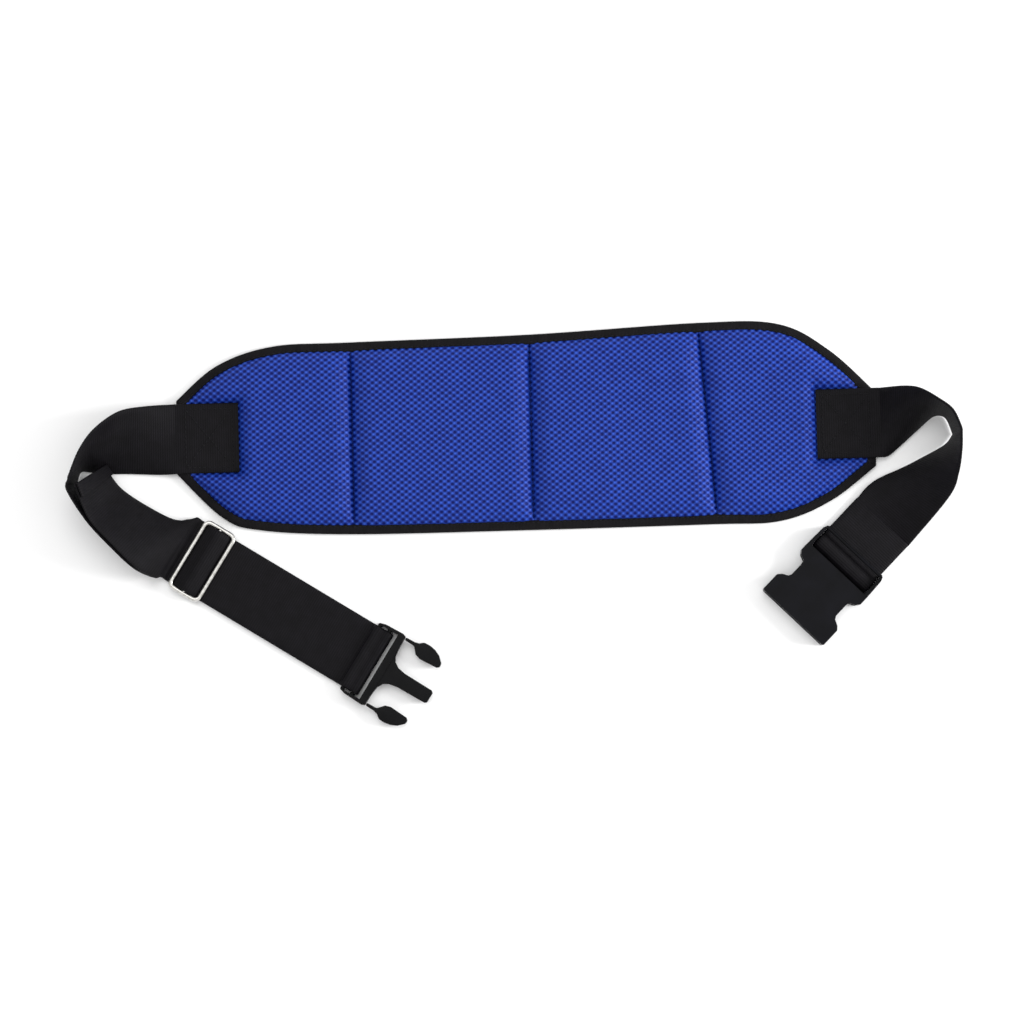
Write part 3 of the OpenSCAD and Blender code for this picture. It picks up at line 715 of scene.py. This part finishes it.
def sweepStrap(stretches, names):
    # one length of webbing along rows of outer edge and inner edge, cut into a piece for each stretch;
    # rounded selvedges and real ribs across the strap
    pairs = np.vstack([stretches[0]] + [part[1:] for part in stretches[1:]]).astype(float)
    cuts = np.cumsum([len(stretches[0]) - 1] + [len(part) - 1 for part in stretches[1:]])
    middle = (pairs[:, :3] + pairs[:, 3:]) / 2
    far = np.concatenate([[0], np.cumsum(np.linalg.norm(np.diff(middle, axis=0), axis=1))])
    count = max(int(far[-1] / strap["step"]), 4)
    want = np.linspace(0, far[-1], count + 1)
    outer = np.column_stack([np.interp(want, far, pairs[:, c]) for c in range(3)])
    inner = np.column_stack([np.interp(want, far, pairs[:, c + 3]) for c in range(3)])
    w = inner - outer
    w /= np.linalg.norm(w, axis=1)[:, None]
    run = np.gradient((outer + inner) / 2, axis=0)
    up = np.cross(w, run)
    up /= np.linalg.norm(up, axis=1)[:, None]
    for _ in range(4):
        up[1:-1] = (up[:-2] + 2 * up[1:-1] + up[2:]) / 4
    up /= np.linalg.norm(up, axis=1)[:, None]
    rib = strap["ribHeight"] * np.abs(np.sin(np.pi * want / strap["ribPitch"]))
    half = strap["thick"] / 2
    columns = np.linspace(0.7, strap["width"] - 0.7, 15)
    section = [(0.0, 0.35, 0)] + [(c, 1.0, 1) for c in columns] + [(strap["width"], 0.35, 0)] + \
              [(strap["width"], -0.35, 0)] + [(c, -1.0, 1) for c in columns[::-1]] + [(0.0, -0.35, 0)]
    layers, cloth = [], []
    for c, s, ribbed in section:
        depth = (half - strap["ribHeight"] + rib * ribbed) * s
        layers.append(outer + w * c + up * depth[:, None])
        cloth.append(np.column_stack([want * mm, np.full(len(want), c * mm)]))
    layers = np.stack(layers, axis=1) * mm
    cloth = np.stack(cloth, axis=1)
    m = len(section)
    pieces, a = [], 0
    for name, cut in zip(names, cuts):
        b = int(np.argmin(abs(want - far[cut])))
        n = b - a + 1
        points, uvs = layers[a:b + 1].reshape(-1, 3), cloth[a:b + 1].reshape(-1, 2)
        faces = []
        for i in range(n - 1):
            faces += ring([i * m + j for j in range(m)], [(i + 1) * m + j for j in range(m)])
        first, last = list(range(m)), list(range((n - 1) * m, n * m))
        points, faces, uvs = ownCaps(points, faces, uvs, [(first, True), (last, False)])
        piece = makeMesh(name, points, faces, webbing, uvs)
        if pieceVolume(points, faces) < 0:
            piece.data.flip_normals()
        pieces.append(piece)
        a = b
    return pieces


def pieceVolume(points, faces):
    total = 0.0
    for face in faces:
        p = points[face]
        total += sum(float(np.dot(p[0], np.cross(p[k], p[k + 1]))) for k in range(1, len(p) - 1))
    return total


def point(x, y, z=0):
    return Vector((x, y, z)) * mm


def easePath(path, steps=6):
    return smoothLine(path, steps)


def sewnEnd(x, y0, y1):
    # the stretch sewn down on the pad, from the strap's cut end outward
    return [station((v, y1), (v, y0), strap["patchMid"], True) for v in x]


# left strap: one length of webbing from the pad, round the turn, beneath the slider to the plug,
# round the plug's two bars, and back on top of itself through the slider to the free tail
upperLine = smoothLine(leftUpper, 10)
cutA = 20               # the sewn piece reaches this row of the upper stretch
plugReturn = 100        # mm along the straight run where the plug's own piece of webbing starts
plugMid, plugBars = 4.5, (3.9, 11.7)
reach = 1.7 + strap["thick"] / 2 + 0.15
hi, lo = plugMid + reach, plugMid - reach
u1, u2 = plugBars
plugPath = [(plugReturn - plugCrease, z1), (-6, z1), (0, z1), (1.4, z1), (u1, lo), (u2, lo),
            (u2 + 1.9, lo + 0.6), (u2 + 2.9, plugMid - 0.8), (u2 + 2.9, plugMid + 0.8), (u2 + 1.9, hi - 0.6),
            (u2, hi), ((u1 + u2) / 2, hi - 0.8), (u1, hi), (u1 - 1.9, hi - 0.6), (u1 - 2.9, plugMid + 0.8),
            (0.8, z2 + 0.4), (0, z2), (-6, z2), (plugReturn - plugCrease, z2)]
there = profilePairs(leftOrigin, leftHeading, [(straightStart, z1), (plugReturn, z1)], -1)
back = profilePairs(leftOrigin, leftHeading, [(plugReturn, z2), (straightStart, z2)], -1)
leftLine = [np.vstack([sewnEnd((-202.5, -224, -242), -25.5, 23.5), upperLine[:cutA + 1]]),
            np.vstack([upperLine[cutA:], smoothLine(leftTurn, 10), there[1:]]),
            np.vstack([there[-1:], profilePairs(plugOrigin, leftHeading, easePath(plugPath), -1)[1:]]),
            np.vstack([back, smoothLine(leftTail, 10)[::-1][1:]])]
leftSewn, leftRun, plugStrap, tail = sweepStrap(
    leftLine, ["leftStrapSewn", "leftStrapTurn", "plugWebbing", "leftStrapTail"])
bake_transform(leftSewn)
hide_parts("left_strap_end", "left_strap_upper")
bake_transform(leftRun)
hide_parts("left_strap_turn", "left_strap_lower")
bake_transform(plugStrap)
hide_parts("plug_webbing")
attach(tail, "left_lower_strap")
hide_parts("left_strap_tail", "left_strap_return")

# folded hem of the tail
hemA, hemB = np.array(above(leftTail, 0, 1.8)), np.array(above(leftTail, 1, 1.8))
hem, = sweepStrap([np.array([hemA + (hemB - hemA) * f for f in np.linspace(0, 0.42, 6)])], ["tailHem"])
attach(hem, "left_lower_strap")
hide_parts("tail_hem")

# webbing over the slider's middle bar
sliderZ = strap["layer2"] + strap["thick"] + 0.3 + 1.5
low, high = sliderZ - 1.5 + strap["thick"] / 2 + 0.05, sliderZ + 1.5 + strap["thick"] / 2 + 0.1
end = 8.6
bridge, = sweepStrap([profilePairs(leftOrigin, leftHeading, easePath(
    [(-end, low), (-end + 1.8, low + 0.9), (-2.6, high - 0.5), (-1, high), (1, high), (2.6, high - 0.5),
     (end - 1.8, low + 0.9), (end, low)]), -1)], ["sliderWebbing"])
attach(bridge, "slider")
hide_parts("slider_webbing")

# right strap: from the pad, round its turn, under and over the socket's bars and back as a short tail
upperLine = smoothLine(rightUpper, 10)
socketReturn = -14
barZ = 4.4
reach = 1.8 + strap["thick"] / 2 + 0.15
hi, lo = barZ + reach, barZ - reach
socketPath = [(socketReturn, z2), (-8, z2), (-3.4, z2), (-1.5, 3.4), (2, 4.6), (5.4, hi - 0.5), (7.4, hi),
              (9.4, hi), (12.6, hi - 0.8), (14.6, hi - 2.6), (14.6, lo + 2.4), (12.6, lo + 0.6), (10, lo),
              (-2, z1), (socketCrease, z1), (-27, z1)]
run = profilePairs(rightOrigin, rightHeading, [(rightStraightStart, z2), (socketReturn, z2)], 1)
rightLine = [np.vstack([sewnEnd((202, 224, 242), -27.5, 21.5), upperLine[:cutA + 1]]),
             np.vstack([upperLine[cutA:], smoothLine(rightTurn, 10), run[1:]]),
             np.vstack([run[-1:], profilePairs(rightOrigin, rightHeading, easePath(socketPath), 1)[1:]])]
rightSewn, rightRun, socketStrap = sweepStrap(
    rightLine, ["rightStrapSewn", "rightStrapTurn", "socketWebbing"])
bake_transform(rightSewn)
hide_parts("right_strap_end", "right_strap_upper")
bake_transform(rightRun)
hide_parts("right_strap_turn", "right_strap_lower")
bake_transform(socketStrap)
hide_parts("socket_webbing", "right_strap_tail")
print("straps made")

# box and cross stitches on the sewn strap ends
for name, body, (x0, x1, y0, y1), dirX in (("left", "outer_left_panel", patchRects[0], 1),
                                           ("right", "outer_right_panel", patchRects[3], -1)):
    edge = 4.0
    a, b = (x0 + 7, x1 - edge) if dirX > 0 else (x0 + edge, x1 - 7)
    c, d = y0 + edge, y1 - edge
    z = strap["patchMid"] + strap["thick"] / 2 + 0.02
    legs = [((a, c), (b, c)), ((b, c), (b, d)), ((b, d), (a, d)), ((a, d), (a, c)),
            ((a, c), (b, d)), ((a, d), (b, c))]
    parts = []
    for p, q in legs:
        path = np.array([[*p, z], [*q, z]])
        parts.append(stitchRow(path, np.tile(up3, (2, 1)), 2.6, 3.5, 0.34, 0.1))
    box = joinParts(f"{name}BoxStitch", parts, blackThread)
    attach(box, body)
    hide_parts(f"{name}_box_stitch")


slider = {"length": 26.0, "width": 55.0, "wire": 3.0, "corner": 4.0}


def roundTube(path, radius, sides, closed, squashZ=1.0):
    path = np.asarray(path, float)
    n = len(path)
    points, faces = [], []
    for i in range(n):
        before = path[i - 1 if closed else max(i - 1, 0)]
        after = path[(i + 1) % n if closed else min(i + 1, n - 1)]
        run = (after - before) / np.linalg.norm(after - before)
        side = np.cross(up3, run)
        side /= np.linalg.norm(side)
        for a in range(sides):
            t = 2 * math.pi * a / sides
            points.append(path[i] + side * radius * math.cos(t) + up3 * radius * squashZ * math.sin(t))
    for i in range(n if closed else n - 1):
        j = (i + 1) % n
        faces += ring([i * sides + a for a in range(sides)], [j * sides + a for a in range(sides)])
    if not closed:
        faces += [[a for a in range(sides)][::-1], [(n - 1) * sides + a for a in range(sides)]]
    return np.array(points) * mm, faces, np.zeros((len(points), 2))


def sliderPoint(u, v):
    return [*place(leftOrigin, leftHeading, u, v), sliderZ]


loop = []
halfU, halfV = slider["length"] / 2 - slider["wire"] / 2, slider["width"] / 2 - slider["wire"] / 2
for quarter, (cu, cv) in enumerate(((1, 1), (-1, 1), (-1, -1), (1, -1))):
    for s in range(9):
        turn = math.radians(90 * quarter + 90 * s / 8)
        loop.append(sliderPoint(cu * (halfU - slider["corner"]) + slider["corner"] * math.cos(turn),
                                cv * (halfV - slider["corner"]) + slider["corner"] * math.sin(turn)))
wireFrame = joinParts("sliderFrame", [roundTube(loop, slider["wire"] / 2, 20, True)], nickel)
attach(wireFrame, "slider")
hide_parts("slider_frame")
barPath = [sliderPoint(0, v) for v in (-halfV, -halfV + 1.2, 0, halfV - 1.2, halfV)]
bar = joinParts("sliderBar", [roundTube(barPath, slider["wire"] / 2 - 0.2, 16, False)], nickel)
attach(bar, "slider")
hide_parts("slider_bar")


def roundedCopy(node, name, body, material, width, shape=None):
    # the CAD solid with its moulded edges rounded over
    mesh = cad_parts[node].data.copy()
    mesh.materials.clear()
    mesh.materials.append(material)
    bm = bmesh.new()
    bm.from_mesh(mesh)
    bmesh.ops.remove_doubles(bm, verts=bm.verts, dist=0.00001)
    bmesh.ops.dissolve_limit(bm, angle_limit=math.radians(1.5), verts=bm.verts, edges=bm.edges)
    if shape:
        shape(bm)
    bm.to_mesh(mesh)
    bm.free()
    piece = bpy.data.objects.new(name, mesh)
    bpy.context.scene.collection.objects.link(piece)
    bevel = piece.modifiers.new("edges", "BEVEL")
    bevel.width = width * mm
    bevel.segments = 3
    bevel.limit_method = "ANGLE"
    bevel.angle_limit = math.radians(35)
    for polygon in mesh.polygons:
        polygon.use_smooth = True
    weigh = piece.modifiers.new("normals", "WEIGHTED_NORMAL")
    weigh.weight = 100
    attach(piece, body)
    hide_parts(node)
    return piece


roundedCopy("buckle_plug", "bucklePlug", "buckle_plug", plugAcetal, 0.7)
roundedCopy("plug_arm_left", "plugArmLeft", "plug_arm_left", plugAcetal, 0.9)
roundedCopy("plug_arm_right", "plugArmRight", "plug_arm_right", plugAcetal, 0.9)
roundedCopy("buckle_socket", "buckleSocket", "buckle_socket", socketAcetal, 0.7)
print("hardware made")

# width seen at the belt and camera distance in m, sensor and aim in mm
studio = {"viewWidth": 0.7168, "sensor": 36, "distance": 2.6, "elevation": 86.0, "roll": -1.6,
          "lookAt": (-12.8, -58.3)}
bpy.ops.mesh.primitive_plane_add(size=8, location=(0, 0, -0.0002))
floor = bpy.context.object
floor.name = "floor"
paper, tree, shader = newMaterial("whitePaper", {"Base Color": hexColour("#fbfbfb"), "Roughness": 0.9})
floor.data.materials.append(paper)
floor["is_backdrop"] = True

world = bpy.data.worlds.new("studio")
world.use_nodes = True
world.node_tree.nodes["Background"].inputs["Color"].default_value = (1, 1, 1, 1)
world.node_tree.nodes["Background"].inputs["Strength"].default_value = 0.92
bpy.context.scene.world = world


def softLight(name, place, target, size, watts):
    data = bpy.data.lights.new(name, "AREA")
    data.shape = "DISK"
    data.size = size
    data.energy = watts
    lamp = bpy.data.objects.new(name, data)
    lamp.location = place
    lamp.rotation_euler = (Vector(target) - Vector(place)).to_track_quat("-Z", "Y").to_euler()
    bpy.context.scene.collection.objects.link(lamp)


softLight("keyRight", (1.7, -0.1, 0.7), (0, 0, 0), 0.7, 30)
softLight("fillTop", (-0.3, 0.8, 2.4), (0, 0, 0), 1.6, 14)

camData = bpy.data.cameras.new("camera")
camera = bpy.data.objects.new("camera", camData)
bpy.context.scene.collection.objects.link(camera)
elevation = math.radians(studio["elevation"])
roll = math.radians(studio["roll"])
target = point(*studio["lookAt"])
back = Vector((math.sin(roll) * math.cos(elevation), -math.cos(roll) * math.cos(elevation),
               math.sin(elevation)))
camera.location = target + back * studio["distance"]
camera.rotation_euler = (math.radians(90) - elevation, 0, roll)
camData.sensor_width = studio["sensor"]
camData.lens = studio["sensor"] * studio["distance"] / studio["viewWidth"]
camData.clip_end = 50
bpy.context.scene.camera = camera
bpy.context.scene.view_settings.view_transform = "Standard"

low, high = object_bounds()
print("scene made")
